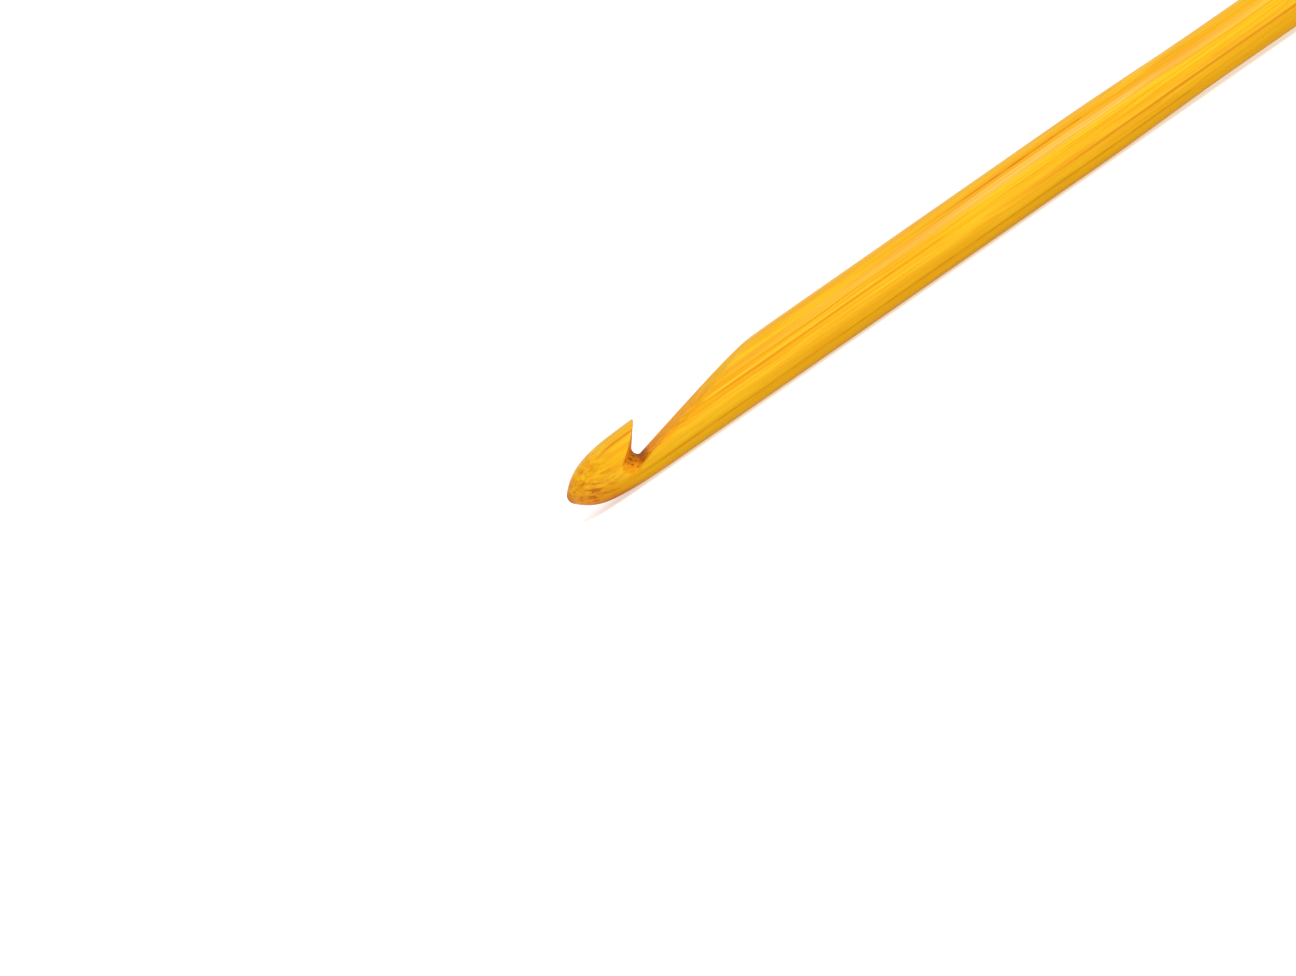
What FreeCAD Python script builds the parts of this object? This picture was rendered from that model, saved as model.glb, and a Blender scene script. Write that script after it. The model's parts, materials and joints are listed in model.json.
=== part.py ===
# Bamboo crochet hook, carved in one piece.
#
# The hook lies along X with its nose towards -X and its mouth facing +Z.
# Z is 0 on the surface that it lies on, and X is 0 at the middle of its length.
# A round stick is pointed at the nose, stepped down behind the working shaft, and
# domed at the butt. One cut across it makes the mouth: a face that leans back under
# the lip, a small round root, and a long ramp that runs out on top of the shaft.
# The root is sanded back where it comes out at each side, so the mouth is a saddle.
# All sizes are in millimetres and degrees.
import FreeCAD, Part
import math
import os

from FreeCAD import Vector

# Driving dimensions
overall_length = 150.0
shaft_diameter = 6.0  # the working shaft, which sets the size of the stitches
handle_diameter = 5.5
dome_length = 2.0  # the rounded butt

# Head
nose_radius = 0.9  # the blunt point
nose_angle = 47.0  # the taper's slope off the axis, where the blunt point ends
taper_length = 11.3  # from the point to where the head is as thick as the shaft
taper_fullness = 1.62  # 0 would make a cone, and more makes a fuller bullet

# Mouth
lip_reach = 10.15  # from the point to the tip of the lip
lip_lean = 38.4  # the lip's face leans back this far from upright
neck_thickness = 2.15  # the bamboo left under the root
root_radius = 0.7
root_sweep = 2.6  # how far the root turns towards the nose at each side
root_dip = 0.9  # how far it drops there
ramp_angle = 12.4
shoulder_radius = 15.4  # rolls the ramp over on to the top of the shaft
run_out_angle = 3.0  # the shoulder's slope where it meets the top of the shaft
edge_radius = 0.12  # softens every edge of the mouth

# Waist, where the working shaft steps down to the handle
waist_start = 62.5  # from the point
waist_length = 17.0

# Worked out from them
shaft_radius = shaft_diameter / 2
handle_radius = handle_diameter / 2
nose_x = -overall_length / 2
butt_x = overall_length / 2
axis_z = max(shaft_radius, handle_radius)
top_z = axis_z + shaft_radius
cut_margin = 1.0  # how far the mouth's cutter runs past the stick


def point(x, radius):
    """A point of the stick's outline, on its +Y side."""
    return Vector(x, radius, axis_z)


def straight(start, end):
    return Part.LineSegment(start, end).toShape()


def conic(start, corner, end, fullness):
    """A curve from start to end whose end tangents meet at corner."""
    curve = Part.BSplineCurve()
    curve.buildFromPolesMultsKnots([start, corner, end], [3, 3], [0, 1], False, 2, [1, fullness, 1])
    return curve.toShape()


def nose_edges():
    """The blunt point, then the taper that swells to the working shaft."""
    slope = math.radians(nose_angle)
    ball_x = nose_x + nose_radius
    ball_end = point(ball_x - nose_radius * math.sin(slope), nose_radius * math.cos(slope))
    half_turn = (math.pi / 2 - slope) / 2
    ball_middle = point(ball_x - nose_radius * math.cos(half_turn), nose_radius * math.sin(half_turn))
    rise = shaft_radius - nose_radius * math.cos(slope)
    corner = point(ball_end.x + rise / math.tan(slope), shaft_radius)
    return [
        Part.Arc(point(nose_x, 0), ball_middle, ball_end).toShape(),
        conic(ball_end, corner, point(nose_x + taper_length, shaft_radius), taper_fullness),
    ]


def waist_edge(start_x, end_x):
    """An S that leaves one cylinder and joins the next with no corner."""
    middle_x = (start_x + end_x) / 2
    curve = Part.BezierCurve()
    curve.setPoles(
        [
            point(start_x, shaft_radius),
            point(middle_x, shaft_radius),
            point(middle_x, handle_radius),
            point(end_x, handle_radius),
        ]
    )
    return curve.toShape()


def stick():
    """The round blank: nose, working shaft, waist, handle and domed butt."""
    waist_x = nose_x + waist_start
    handle_x = waist_x + waist_length
    dome_x = butt_x - dome_length
    quarter_ellipse = math.sqrt(0.5)
    outline = nose_edges() + [
        straight(point(nose_x + taper_length, shaft_radius), point(waist_x, shaft_radius)),
        waist_edge(waist_x, handle_x),
        straight(point(handle_x, handle_radius), point(dome_x, handle_radius)),
        conic(point(dome_x, handle_radius), point(butt_x, handle_radius), point(butt_x, 0), quarter_ellipse),
        straight(point(butt_x, 0), point(nose_x, 0)),
    ]
    half = Part.Face(Part.Wire(outline))
    return half.revolve(Vector(0, 0, axis_z), Vector(1, 0, 0), 360)


def heading(angle):
    """A unit step in the XZ plane, at an angle in radians above +X."""
    return Vector(math.cos(angle), 0, math.sin(angle))


def angle_between(start, end):
    return math.atan2(end.z - start.z, end.x - start.x)


def mouth_section(side):
    """The mouth's outline in the upright plane at Y = side."""
    across = Vector(0, side, 0)
    ramp = math.radians(ramp_angle)
    run_out = math.radians(run_out_angle)
    lip_tip = Vector(nose_x + lip_reach, 0, top_z)
    depth = shaft_diameter - neck_thickness
    middle_foot = lip_tip - Vector(depth * math.tan(math.radians(lip_lean)), 0, depth)

    # The shoulder is the same right across the stick.
    shoulder_foot_z = top_z - shoulder_radius * (math.cos(run_out) - math.cos(ramp))
    shoulder_foot_x = middle_foot.x + (shoulder_foot_z - middle_foot.z) / math.tan(ramp)
    shoulder_foot = Vector(shoulder_foot_x, 0, shoulder_foot_z)
    centre = shoulder_foot - heading(ramp + math.pi / 2) * shoulder_radius
    shoulder_middle = centre + heading((ramp + run_out) / 2 + math.pi / 2) * shoulder_radius
    shoulder_top = centre + heading(run_out + math.pi / 2) * shoulder_radius

    # The face and the ramp, produced, meet at a foot that moves out and down at the sides.
    spread = (side / shaft_radius) ** 2
    foot = middle_foot - Vector(root_sweep * spread, 0, root_dip * spread)
    face_angle = angle_between(foot, lip_tip)
    floor_angle = angle_between(foot, shoulder_foot)
    half_angle = (face_angle - floor_angle) / 2
    tangent = root_radius / math.tan(half_angle)
    face_end = foot + heading(face_angle) * tangent
    floor_start = foot + heading(floor_angle) * tangent
    bisector = heading(floor_angle + half_angle)
    root_middle = foot + bisector * (root_radius / math.sin(half_angle) - root_radius)

    above_lip = lip_tip + heading(face_angle) * (cut_margin / math.sin(face_angle))
    above_shoulder = Vector(shoulder_top.x, 0, above_lip.z)
    section = Part.Wire(
        [
            straight(above_lip, face_end),
            Part.Arc(face_end, root_middle, floor_start).toShape(),
            straight(floor_start, shoulder_foot),
            Part.Arc(shoulder_foot, shoulder_middle, shoulder_top).toShape(),
            straight(shoulder_top, above_shoulder),
            straight(above_shoulder, above_lip),
        ]
    )
    section.translate(across)
    return section


def mouth_cutter():
    """The space of the mouth, from one side of the stick to the other."""
    reach = shaft_radius + cut_margin
    sections = [mouth_section(side) for side in (-reach, 0, reach)]
    return Part.makeLoft(sections, True, False)


def shared_edges(some_faces, other_faces):
    return [
        edge
        for face in some_faces
        for edge in face.Edges
        if any(edge.isSame(other) for neighbour in other_faces for other in neighbour.Edges)
    ]


def hook():
    """The stick with its mouth cut and the mouth's edges softened."""
    sharp = stick().cut(mouth_cutter())
    mouth_faces = [face for face in sharp.Faces if isinstance(face.Surface, Part.BSplineSurface)]
    stick_faces = [face for face in sharp.Faces if not isinstance(face.Surface, Part.BSplineSurface)]
    return sharp.makeFillet(edge_radius, shared_edges(mouth_faces, stick_faces))


os.makedirs("parts", exist_ok=True)
hook().exportStep("parts/hook.step")
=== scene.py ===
import json
import math

import bpy
import numpy as np
from mathutils import Matrix, Vector


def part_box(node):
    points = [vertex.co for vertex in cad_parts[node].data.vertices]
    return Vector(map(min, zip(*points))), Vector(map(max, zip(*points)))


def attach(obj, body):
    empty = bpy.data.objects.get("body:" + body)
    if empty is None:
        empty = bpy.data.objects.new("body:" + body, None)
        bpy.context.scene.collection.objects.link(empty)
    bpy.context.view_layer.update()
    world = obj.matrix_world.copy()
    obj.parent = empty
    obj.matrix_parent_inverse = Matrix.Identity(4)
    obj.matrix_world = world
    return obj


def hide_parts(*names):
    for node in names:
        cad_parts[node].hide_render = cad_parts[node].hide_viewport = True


# The looks of a bamboo crochet hook, carved in one piece.
# The shape is worked out in millimetres, with t running from the point of the nose to the butt,
# y across the hook, and h up from the stick's axis towards the side that the mouth opens on.

MM = 0.001

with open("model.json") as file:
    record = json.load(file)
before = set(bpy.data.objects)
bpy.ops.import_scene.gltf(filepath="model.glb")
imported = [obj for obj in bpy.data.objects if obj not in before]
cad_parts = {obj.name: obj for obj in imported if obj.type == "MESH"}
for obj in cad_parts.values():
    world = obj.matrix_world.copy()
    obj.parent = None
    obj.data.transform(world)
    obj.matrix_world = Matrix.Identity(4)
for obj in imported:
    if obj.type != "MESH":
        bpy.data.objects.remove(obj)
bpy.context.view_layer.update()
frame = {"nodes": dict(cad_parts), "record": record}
low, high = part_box("hook")
mounts = {mount["name"]: mount for mount in frame["record"]["mounts"]}

# Overall sizes, taken from the frame
length = (high.x - low.x) / MM
shaft_radius = mounts["working_shaft"]["dims"]["r_mm"]
handle_radius = mounts["handle"]["dims"]["r_mm"]
nose = Vector((low.x, 0, mounts["handle"]["pos_m"][2]))


def span_of(mount):
    """Where a round mount starts and ends, measured from the nose."""
    middle = (mount["pos_m"][0] - nose.x) / MM
    half = mount["dims"]["length_mm"] / 2
    return middle - half, middle + half


taper_end, waist_start = span_of(mounts["working_shaft"])
waist_end, dome_start = span_of(mounts["handle"])

# The head and the mouth, as the CAD has them
nose_radius = 0.9
nose_angle = math.radians(47.0)
taper_fullness = 1.62
lip_reach = 10.15
lip_lean = math.radians(38.4)
neck_thickness = 2.15
root_radius = 0.7
root_sweep = 2.6
root_dip = 0.9
ramp_angle = math.radians(12.4)
shoulder_radius = 15.4
run_out_angle = math.radians(3.0)

# How far the hand finish rounds each edge over. The ramp's edges fade out towards the shoulder.
lip_softness = 0.18
root_softness = 1.0
near_ramp_softness = 1.0
far_ramp_softness = 0.4
shoulder_softness = 0.12
far_fade_start, near_fade_start, fade_length = 13.0, 17.0, 7.0

# How far the hand finish takes the nose's point below the stick's axis
nose_droop = 0.09
droop_end = 6.0


# ---- the shape ----


def conic(start, corner, end, fullness, count):
    """Points of a curve from start to end whose end tangents meet at corner."""
    step = np.linspace(0, 1, count)[:, None]
    weights = (1 - step) ** 2, 2 * fullness * step * (1 - step), step**2
    poles = start, corner, end
    return sum(weight * np.array(pole) for weight, pole in zip(weights, poles)) / sum(weights)


def stick_outline():
    """Points (t, radius) of the round blank, close together, from the nose to the butt."""
    turn = np.linspace(0, math.pi / 2 - nose_angle, 200)
    ball = np.column_stack([nose_radius * (1 - np.cos(turn)), nose_radius * np.sin(turn)])
    rise = shaft_radius - ball[-1, 1]
    corner = (ball[-1, 0] + rise / math.tan(nose_angle), shaft_radius)
    taper = conic(ball[-1], corner, (taper_end, shaft_radius), taper_fullness, 400)
    step = np.linspace(0, 1, 200)
    ease = step * step * (3 - 2 * step)
    run = waist_end - waist_start
    waist_radius = shaft_radius + (handle_radius - shaft_radius) * ease
    waist = np.column_stack([waist_start + run * step, waist_radius])
    butt = (length, handle_radius)
    dome = conic((dome_start, handle_radius), butt, (length, 0), math.sqrt(0.5), 400)
    return np.vstack([ball, taper[1:], waist, dome])


outline = stick_outline()


def radius_squared(t):
    """The square of the stick's radius, which goes on below zero past each end."""
    inside = np.interp(t, outline[:, 0], outline[:, 1] ** 2)
    before = 2 * nose_radius * np.minimum(t, 0)
    dome_length = length - dome_start
    after = -2 * handle_radius**2 / dome_length * np.maximum(t - length, 0)
    return inside + before + after


def stick_field(t, y, h):
    """Below zero in the stick, about the distance from its surface near it."""
    ease = np.clip((droop_end - t) / (droop_end - 1), 0, 1)
    h = h + nose_droop * ease * ease * (3 - 2 * ease)
    step = 0.02
    slope = (radius_squared(t + step) - radius_squared(t - step)) / (2 * step)
    rho_squared = y * y + h * h
    return (rho_squared - radius_squared(t)) / np.sqrt(slope**2 + 4 * rho_squared + 1e-6)


def mouth_field(t, y, h):
    """Below zero in the space of the mouth, about the distance from its wall near it."""
    top = shaft_radius
    depth = 2 * shaft_radius - neck_thickness
    middle_foot_t = lip_reach - depth * math.tan(lip_lean)
    middle_foot_h = top - depth
    shoulder_h = top - shoulder_radius * (math.cos(run_out_angle) - math.cos(ramp_angle))
    shoulder_t = middle_foot_t + (shoulder_h - middle_foot_h) / math.tan(ramp_angle)

    spread = (y / shaft_radius) ** 2
    foot_t = middle_foot_t - root_sweep * spread
    foot_h = middle_foot_h - root_dip * spread
    face_angle = np.arctan2(top - foot_h, lip_reach - foot_t)
    floor_angle = np.arctan2(shoulder_h - foot_h, shoulder_t - foot_t)
    from_foot_t = t - foot_t
    from_foot_h = h - foot_h

    # The face, and the floor with its shoulder
    to_face = from_foot_h * np.cos(face_angle) - from_foot_t * np.sin(face_angle)
    to_floor = from_foot_t * np.sin(floor_angle) - from_foot_h * np.cos(floor_angle)
    centre_t = shoulder_t + shoulder_radius * math.sin(ramp_angle)
    centre_h = shoulder_h - shoulder_radius * math.cos(ramp_angle)
    angle = np.arctan2(t - centre_t, h - centre_h)
    to_shoulder = shoulder_radius - np.hypot(t - centre_t, h - centre_h)
    run_out_t = centre_t - shoulder_radius * math.sin(run_out_angle)
    run_out_h = centre_h + shoulder_radius * math.cos(run_out_angle)
    run_out_slope = math.sin(run_out_angle), math.cos(run_out_angle)
    to_run_out = (t - run_out_t) * run_out_slope[0] - (h - run_out_h) * run_out_slope[1]
    past_ramp = np.where(angle < -run_out_angle, to_shoulder, to_run_out)
    to_floor = np.where(t > shoulder_t, past_ramp, to_floor)

    # The round root between them
    half_angle = (face_angle - floor_angle) / 2
    bisector = floor_angle + half_angle
    reach = root_radius / np.sin(half_angle)
    root_t = from_foot_t - reach * np.cos(bisector)
    root_h = from_foot_h - reach * np.sin(bisector)
    behind = -(root_t * np.cos(bisector) + root_h * np.sin(bisector))
    aside = np.abs(root_h * np.cos(bisector) - root_t * np.sin(bisector))
    in_root = aside < behind * np.tan(math.pi / 2 - half_angle)
    return np.where(in_root, np.hypot(root_t, root_h) - root_radius, np.maximum(to_face, to_floor))


def hook_field(t, y, h):
    """Below zero in the finished hook, with the mouth's edges rounded over."""
    stick = stick_field(t, y, h)
    mouth = mouth_field(t, y, h)
    to_root = np.clip((1.0 - h) / 2.5, 0, 1) * np.clip((lip_reach - t) / 2.5, 0, 1)
    to_near_side = np.clip(0.5 - y / (2 * shaft_radius), 0, 1)
    to_ramp = np.clip((t - lip_reach) / 2.0, 0, 1)
    fade_start = far_fade_start + (near_fade_start - far_fade_start) * to_near_side
    to_shoulder = np.clip((t - fade_start) / fade_length, 0, 1)
    softness = far_ramp_softness + (near_ramp_softness - far_ramp_softness) * to_near_side
    softness = softness + (shoulder_softness - softness) * to_shoulder
    softness = lip_softness + (softness - lip_softness) * to_ramp
    softness = softness + (root_softness - softness) * to_root
    overlap = np.maximum(softness - np.abs(stick + mouth), 0) / softness
    return np.maximum(stick, -mouth) + softness * overlap**2 / 4


def settle(points, rounds=6):
    """Moves points straight on to the hook's surface."""
    step = 0.004
    least_slope = 0.05
    longest_move = 0.1
    for _ in range(rounds):
        t, y, h = points.T
        value = hook_field(t, y, h)
        slope = np.column_stack(
            [
                hook_field(t + step, y, h) - hook_field(t - step, y, h),
                hook_field(t, y + step, h) - hook_field(t, y - step, h),
                hook_field(t, y, h + step) - hook_field(t, y, h - step),
            ]
        ) / (2 * step)
        move = value[:, None] * slope / np.maximum((slope**2).sum(1), least_slope)[:, None]
        points = points - np.clip(move, -longest_move, longest_move)
    return points


# The skin's mesh is fine on the head, coarser along the ramp, and coarsest on the plain shaft.
# Each pair is a distance from the nose and how close the cells lie there along the hook,
# where 1 is a cell in every skin_step.
skin_step = 0.096
stretch = [(0.0, 1.0), (11.0, 1.0), (27.0, 0.5), (30.0, 0.1)]
stretch += [(length - 3.0, 0.1), (length - 2.5, 0.8), (length, 0.8)]
stretch_t = np.linspace(-1, length + 1, 8000)
stretch_rate = np.interp(stretch_t, [t for t, _ in stretch], [rate for _, rate in stretch])
stretch_steps = (stretch_rate[1:] + stretch_rate[:-1]) / 2 * np.diff(stretch_t)
stretch_u = np.concatenate([[0], np.cumsum(stretch_steps)])


def hook_skin():
    """A closed mesh of small cells, wrapped round the frame's solid and settled on the surface."""
    cut_start, cut_run = 0.03, 0.2  # how deep below the stick's surface the cut face begins
    solid = frame["nodes"]["hook"].data.copy()
    points = np.empty(len(solid.vertices) * 3)
    solid.vertices.foreach_get("co", points)
    points = (points.reshape(-1, 3) - np.array(nose)) / MM
    points[:, 0] = np.interp(points[:, 0], stretch_t, stretch_u)
    solid.vertices.foreach_set("co", points.ravel())
    draft = bpy.data.objects.new("draft", solid)
    bpy.context.scene.collection.objects.link(draft)
    remesh = draft.modifiers.new("cells", "REMESH")
    remesh.mode = "VOXEL"
    remesh.voxel_size = skin_step
    remesh.use_smooth_shade = True
    bpy.context.view_layer.update()
    evaluated = draft.evaluated_get(bpy.context.evaluated_depsgraph_get())
    skin = bpy.data.meshes.new_from_object(evaluated)
    skin.name = "bamboo_hook"
    bpy.data.objects.remove(draft)

    points = np.empty(len(skin.vertices) * 3)
    skin.vertices.foreach_get("co", points)
    points = points.reshape(-1, 3)
    points[:, 0] = np.interp(points[:, 0], stretch_u, stretch_t)
    points = settle(points)
    cut = skin.attributes.new("cut", "FLOAT", "POINT")
    depth = -stick_field(*points.T)
    cut.data.foreach_set("value", np.clip((depth - cut_start) / cut_run, 0, 1))
    skin.vertices.foreach_set("co", (points * MM + np.array(nose)).ravel())
    skin.update()
    return skin


# ---- the bamboo ----


def tone(red, green, blue):
    """A shader colour from red, green and blue as a screen shows them, 0 to 255."""
    shown = np.array([red, green, blue]) / 255
    return (*np.where(shown <= 0.04045, shown / 12.92, ((shown + 0.055) / 1.055) ** 2.4), 1)


class Graph:
    """Short ways to add a material's nodes. Add gives the node, and the others its results."""

    def __init__(self, tree):
        self.tree = tree

    def add(self, kind, inputs, **settings):
        node = self.tree.nodes.new(kind)
        for name, value in settings.items():
            setattr(node, name, value)
        for key, value in inputs.items():
            if isinstance(value, bpy.types.NodeSocket):
                self.tree.links.new(value, node.inputs[key])
            else:
                node.inputs[key].default_value = value
        return node

    def math(self, operation, first, second=0.0):
        return self.add("ShaderNodeMath", {0: first, 1: second}, operation=operation).outputs[0]

    def fade(self, value, off, full):
        """0 where value is at off, 1 where it is at full, and smooth between them."""
        inputs = {"Value": value, "From Min": off, "From Max": full}
        return self.add("ShaderNodeMapRange", inputs, interpolation_type="SMOOTHSTEP").outputs[0]

    def stretch(self, vector, scale):
        inputs = {0: vector, 1: scale}
        return self.add("ShaderNodeVectorMath", inputs, operation="MULTIPLY").outputs[0]

    def noise(self, vector, scale, detail=2.0):
        inputs = {"Vector": self.stretch(vector, scale), "Scale": 1.0, "Detail": detail}
        return self.add("ShaderNodeTexNoise", inputs).outputs[0]

    def cells(self, vector, scale):
        """The distance from the middle of the nearest cell, and that cell's own random number."""
        inputs = {"Vector": self.stretch(vector, scale), "Scale": 1.0}
        node = self.add("ShaderNodeTexVoronoi", inputs)
        number = self.add("ShaderNodeSeparateColor", {0: node.outputs["Color"]}).outputs[0]
        return node.outputs["Distance"], number

    def blend(self, amount, first, second, kind="MIX"):
        inputs = {0: amount, 6: first, 7: second}
        return self.add("ShaderNodeMix", inputs, data_type="RGBA", blend_type=kind).outputs[2]

    def product(self, *values):
        result = values[0]
        for value in values[1:]:
            result = self.math("MULTIPLY", result, value)
        return result


def bamboo():
    """Golden bamboo: long fibre lines on the stick, dashes on the nose, pores in the mouth, with painted
    shade underneath and in the mouth's root.
    """
    material = bpy.data.materials.new("bamboo")
    material.use_nodes = True
    shader = material.node_tree.nodes["Principled BSDF"]
    graph = Graph(material.node_tree)

    # t, y and h in millimetres, as for the shape
    place = graph.add("ShaderNodeTexCoord", {}).outputs["Object"]
    from_nose = {0: place, 1: tuple(nose)}
    moved = graph.add("ShaderNodeVectorMath", from_nose, operation="SUBTRACT").outputs[0]
    grown = graph.stretch(moved, (1 / MM,) * 3)
    split = graph.add("ShaderNodeSeparateXYZ", {0: grown})
    t, y, h = split.outputs

    # The fibres wander a little along the stick, and lean at the nose where it was sanded
    wander = graph.math("SUBTRACT", graph.noise(grown, (0.05, 0.2, 0.2)), 0.5)
    wander = graph.math("MULTIPLY", wander, 0.5)
    lean = graph.product(graph.math("MINIMUM", graph.math("SUBTRACT", t, 5.0), 0.0), 0.22)
    aside = graph.math("ADD", y, wander)
    raised = graph.math("ADD", graph.math("ADD", h, wander), lean)
    fibre = graph.add("ShaderNodeCombineXYZ", {0: t, 1: aside, 2: raised}).outputs[0]

    # Bundles of fibres: broad soft bands, fine grain, and the darker cores of the bundles
    broad = graph.fade(graph.noise(fibre, (0.02, 1.1, 1.1), 3.0), 0.35, 0.68)
    fine = graph.noise(fibre, (0.07, 6.0, 6.0), 3.0)
    distance, number = graph.cells(fibre, (0.018, 1.7, 1.7))
    core = graph.product(graph.fade(distance, 0.30, 0.06), graph.fade(number, 0.25, 0.95))
    grain = graph.fade(fine, 0.4, 0.66)

    colour = graph.blend(broad, tone(235, 186, 26), tone(227, 165, 12))
    colour = graph.blend(graph.product(grain, 0.7), colour, tone(222, 145, 5))
    colour = graph.blend(graph.product(core, 0.6), colour, tone(206, 112, 2))

    # Lines that run along the stick. The angle is up from level on the side that faces -Y.
    angle = graph.math("DEGREES", graph.math("ARCTAN2", h, graph.math("MULTIPLY", y, -1.0)))

    def line(centre, half_width, start, end, run=4.0):
        """A line along the stick, soft across and fading in and out at its ends."""
        away = graph.math("ABSOLUTE", graph.math("SUBTRACT", angle, centre))
        across = graph.fade(away, half_width, half_width * 0.2)
        return graph.product(across, graph.fade(t, start, start + run), graph.fade(t, end, end - run))

    broken = graph.fade(graph.noise(fibre, (0.35, 0.5, 0.5), 2.0), 0.3, 0.6)
    seam = graph.product(line(-34.0, 3.2, 5.5, 78.0), graph.math("ADD", graph.product(broken, 0.5), 0.5))
    colour = graph.blend(graph.product(seam, 0.75), colour, tone(180, 92, 2))
    upper = graph.math("ADD", line(53.5, 3.5, 5.0, 12.0, 1.5), line(53.5, 3.5, 42.0, 74.0, 14.0))
    upper = graph.product(upper, graph.math("ADD", graph.product(broken, 0.5), 0.35))
    colour = graph.blend(upper, colour, tone(200, 96, 3))
    low_band = line(-10.0, 4.0, 54.0, 110.0, 12.0)
    colour = graph.blend(graph.product(low_band, 0.75), colour, tone(202, 120, 3))
    pale = line(17.0, 3.0, 16.0, 40.0, 3.0)
    below_pale = line(12.0, 2.6, 17.0, 48.0, 3.0)
    colour = graph.blend(graph.product(pale, 0.5), colour, tone(244, 200, 60))
    colour = graph.blend(graph.product(below_pale, 0.5), colour, tone(212, 122, 3))

    # Painted shade: darker and a little greener towards the underside, where less light falls
    painted_underside_shade = graph.fade(h, 0.0, -2.6)
    colour = graph.blend(graph.product(painted_underside_shade, 0.7), colour, tone(196, 146, 1))

    # Short dark dashes where the nose cuts across the fibres, and painted shade on the nose's underside
    sanded = graph.fade(t, 7.0, 2.5)
    painted_nose_underside_shade = graph.product(sanded, graph.fade(h, 1.2, -1.2))
    mottle = graph.fade(graph.noise(fibre, (0.6, 1.5, 1.5), 2.0), 0.42, 0.62)
    colour = graph.blend(graph.product(sanded, mottle, 0.5), colour, tone(212, 126, 3))
    # Painted shade: the lower side of the nose darker
    colour = graph.blend(graph.product(painted_nose_underside_shade, 0.4), colour, tone(192, 104, 2))
    dash = graph.fade(graph.noise(fibre, (0.8, 2.9, 2.9), 3.0), 0.5, 0.62)
    on_nose = graph.product(sanded, graph.fade(h, 3.2, -0.6))
    colour = graph.blend(graph.product(dash, on_nose, 0.75), colour, tone(168, 76, 2))

    # Painted shade on the belly of the head, and a darker point
    steepness = graph.math("DEGREES", graph.math("ARCTAN2", h, graph.math("ABSOLUTE", y)))
    painted_belly_shade = graph.product(graph.fade(steepness, -38.0, -62.0), graph.fade(t, 9.5, 5.0))
    colour = graph.blend(graph.product(painted_belly_shade, 0.6), colour, tone(176, 92, 3))
    colour = graph.blend(graph.product(graph.fade(t, 3.2, 0.6), 0.5), colour, tone(206, 130, 3))
    tip = graph.fade(t, 0.8, 0.0)
    colour = graph.blend(graph.product(tip, 0.65), colour, tone(150, 74, 8))

    # End grain on the dome of the butt
    on_dome = graph.fade(t, length - 1.6, length - 0.3)
    end_grain = graph.product(on_dome, graph.fade(distance, 0.34, 0.12))
    colour = graph.blend(graph.product(end_grain, 0.6), colour, tone(170, 92, 4))

    # The mouth: matt sawn fibre, with stained pores round the root, and painted shade in the root's
    # crease
    cut = graph.add("ShaderNodeAttribute", {}, attribute_name="cut").outputs["Fac"]
    rough_grain = graph.fade(graph.noise(fibre, (0.5, 4.0, 4.0), 3.0), 0.35, 0.65)
    matt = graph.blend(rough_grain, tone(236, 162, 8), tone(210, 122, 4))
    colour = graph.blend(graph.product(cut, graph.fade(t, 22.0, 12.0), 0.75), colour, matt)
    low_enough = graph.product(graph.fade(h, 1.3, 0.4), graph.fade(h, -1.6, -0.8))
    root = graph.product(cut, low_enough, graph.fade(t, 11.0, 9.4))
    stain = graph.fade(graph.noise(grown, (1.6, 1.6, 1.6), 3.0), 0.35, 0.62)
    colour = graph.blend(graph.product(root, 0.25), colour, tone(222, 116, 2))
    colour = graph.blend(graph.product(root, stain, 0.12), colour, tone(160, 74, 2))
    pore_distance, pore_number = graph.cells(grown, (1.8, 2.6, 2.6))
    pore_size = graph.math("ADD", graph.product(pore_number, 0.22), 0.3)
    pore = graph.product(graph.fade(pore_distance, pore_size, 0.05), root)
    colour = graph.blend(graph.product(pore, 0.85), colour, tone(120, 46, 1))
    # Painted shade: the crease at the root of the mouth darker
    painted_root_crease_shade = graph.product(root, graph.fade(t, 7.9, 8.7), graph.fade(t, 9.9, 9.0))
    colour = graph.blend(graph.product(painted_root_crease_shade, 0.55), colour, tone(122, 36, 1))

    # The outside is satin, and duller lower down and in the mouth
    gloss = graph.math("SUBTRACT", 0.12, graph.product(painted_underside_shade, 0.1))
    polished = graph.math("ADD", graph.product(fine, 0.16), 0.18)
    roughness = graph.math("ADD", graph.product(cut, 0.45), polished)
    hollows = graph.math("ADD", graph.product(core, 0.5), graph.product(pore, 3.0))
    relief = {"Height": graph.math("SUBTRACT", fine, hollows), "Distance": 0.02 * MM, "Strength": 1.0}
    results = {
        "Base Color": colour,
        "Specular IOR Level": gloss,
        "Roughness": roughness,
        "Normal": graph.add("ShaderNodeBump", relief).outputs[0],
    }
    for name, socket in results.items():
        graph.tree.links.new(socket, shader.inputs[name])
    return material


# ---- the picture ----

view_azimuth = math.radians(4.9)
view_elevation = math.radians(10.0)
shaft_lean = math.radians(34.8)
camera_distance = 1.0
picture_width = 0.1305
aim_along = 7.3 * MM
aim_across = -3.66 * MM

# Even white light from all round, and paper that glows a little, so that it shows as pure white
world_strength = 0.75
paper_white = 0.7
paper_glow = 0.5


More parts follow.
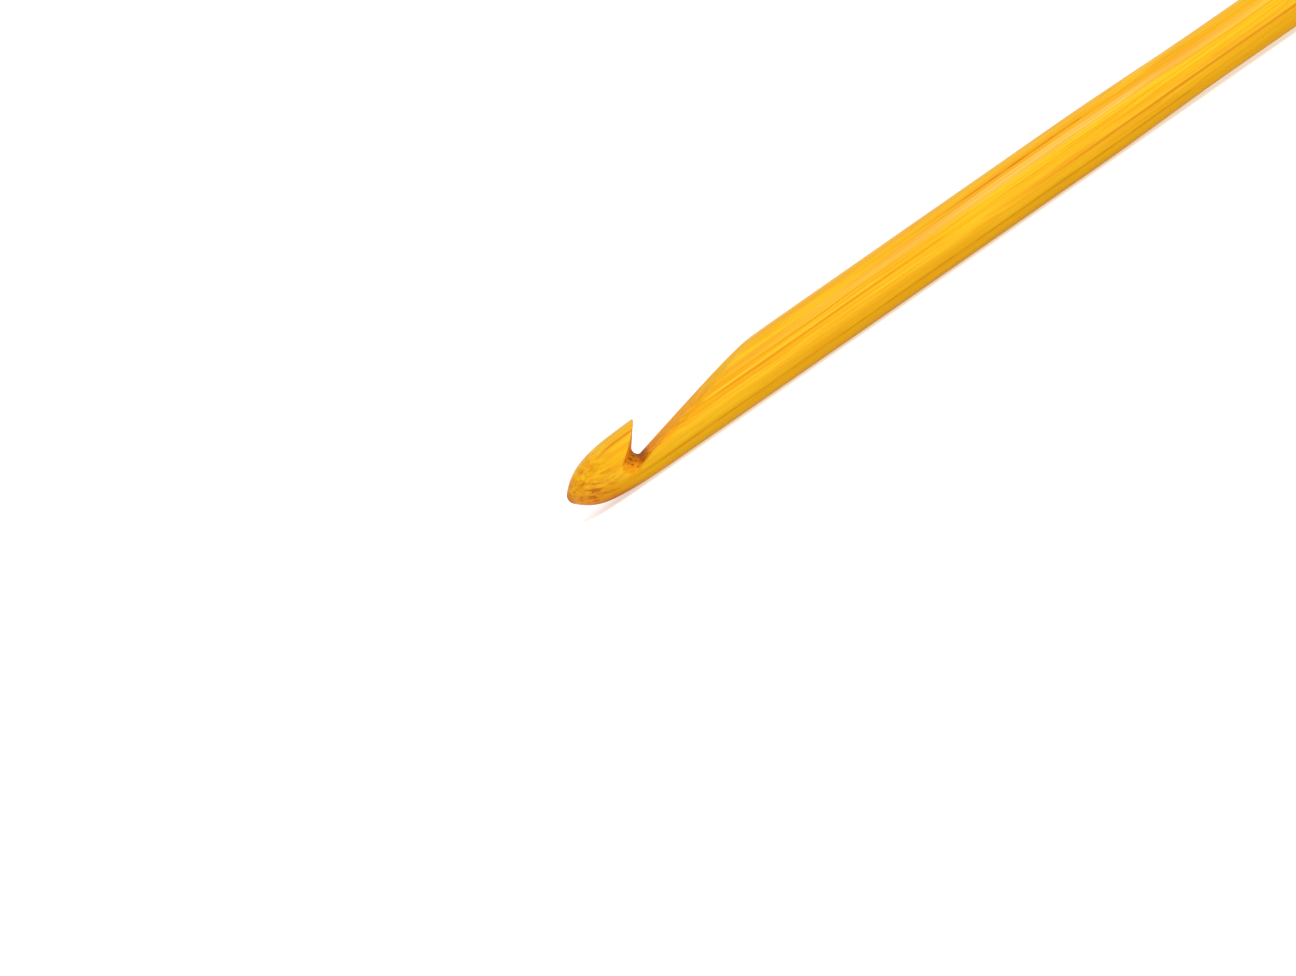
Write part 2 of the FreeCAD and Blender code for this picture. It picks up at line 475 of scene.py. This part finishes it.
def place_camera():
    """Looks at the head from beside the mouth, rolled so that the shaft climbs to the right."""
    back = Vector(
        (
            math.sin(view_azimuth) * math.cos(view_elevation),
            -math.cos(view_azimuth) * math.cos(view_elevation),
            math.sin(view_elevation),
        )
    )
    along = (Vector((1, 0, 0)) - back * back.x).normalized()
    across = back.cross(along)
    right = math.cos(shaft_lean) * along - math.sin(shaft_lean) * across
    up = math.sin(shaft_lean) * along + math.cos(shaft_lean) * across
    aim = nose + along * aim_along + across * aim_across
    data = bpy.data.cameras.new("camera")
    data.sensor_width = 36.0
    data.lens = data.sensor_width * camera_distance / picture_width
    data.clip_start = 0.01
    data.clip_end = 20.0
    camera = bpy.data.objects.new("camera", data)
    turned = Matrix((right, up, back)).transposed().to_4x4()
    camera.matrix_world = Matrix.Translation(aim + back * camera_distance) @ turned
    bpy.context.scene.collection.objects.link(camera)
    bpy.context.scene.camera = camera


def white_world():
    world = bpy.data.worlds.new("studio")
    world.use_nodes = True
    background = world.node_tree.nodes["Background"]
    background.inputs["Color"].default_value = (1, 1, 1, 1)
    background.inputs["Strength"].default_value = world_strength
    bpy.context.scene.world = world


def area_light(name, angle, distance, along, across, power):
    """A soft light over the working shaft. The angle is up from level, on the camera's side."""
    data = bpy.data.lights.new(name, "AREA")
    data.shape = "RECTANGLE"
    data.size = along
    data.size_y = across
    data.energy = power
    light = bpy.data.objects.new(name, data)
    target = nose + Vector((55 * MM, 0, 0))
    offset = Vector((0, -math.cos(angle), math.sin(angle))) * distance
    light.location = target + offset
    light.rotation_euler = offset.to_track_quat("Z", "Y").to_euler()
    bpy.context.scene.collection.objects.link(light)


def floor():
    """A plain pale floor under the hook, which curves up at its rim a long way off."""
    flat_radius = 2.5
    rim_radius = 0.6
    around = 96
    turns = np.linspace(0, math.pi / 2, 13)
    points = [(0, 0, 0)]
    for turn in turns:
        radius = flat_radius + rim_radius * math.sin(turn)
        height = rim_radius * (1 - math.cos(turn))
        for step in range(around):
            bearing = 2 * math.pi * step / around
            points.append((radius * math.cos(bearing), radius * math.sin(bearing), height))
    faces = [(0, 1 + step, 1 + (step + 1) % around) for step in range(around)]
    for ring in range(len(turns) - 1):
        for step in range(around):
            near = 1 + ring * around + step
            after = 1 + ring * around + (step + 1) % around
            faces.append((near, near + around, after + around, after))
    mesh = bpy.data.meshes.new("floor")
    mesh.from_pydata(points, [], faces)
    material = bpy.data.materials.new("paper")
    material.use_nodes = True
    shader = material.node_tree.nodes["Principled BSDF"]
    shader.inputs["Base Color"].default_value = (paper_white,) * 3 + (1,)
    shader.inputs["Roughness"].default_value = 1.0
    shader.inputs["Specular IOR Level"].default_value = 0.0
    shader.inputs["Emission Color"].default_value = (1, 1, 1, 1)
    shader.inputs["Emission Strength"].default_value = paper_glow
    mesh.materials.append(material)
    paper = bpy.data.objects.new("floor", mesh)
    bpy.context.scene.collection.objects.link(paper)


hook = bpy.data.objects.new("bamboo_hook", hook_skin())
hook.data.materials.clear()
hook.data.materials.append(bamboo())
bpy.context.scene.collection.objects.link(hook)
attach(hook, "root")
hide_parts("hook")

floor()
place_camera()
white_world()
area_light("key", angle=math.radians(62), distance=0.22, along=0.04, across=0.09, power=0.22)
bpy.context.scene.view_settings.view_transform = "Standard"
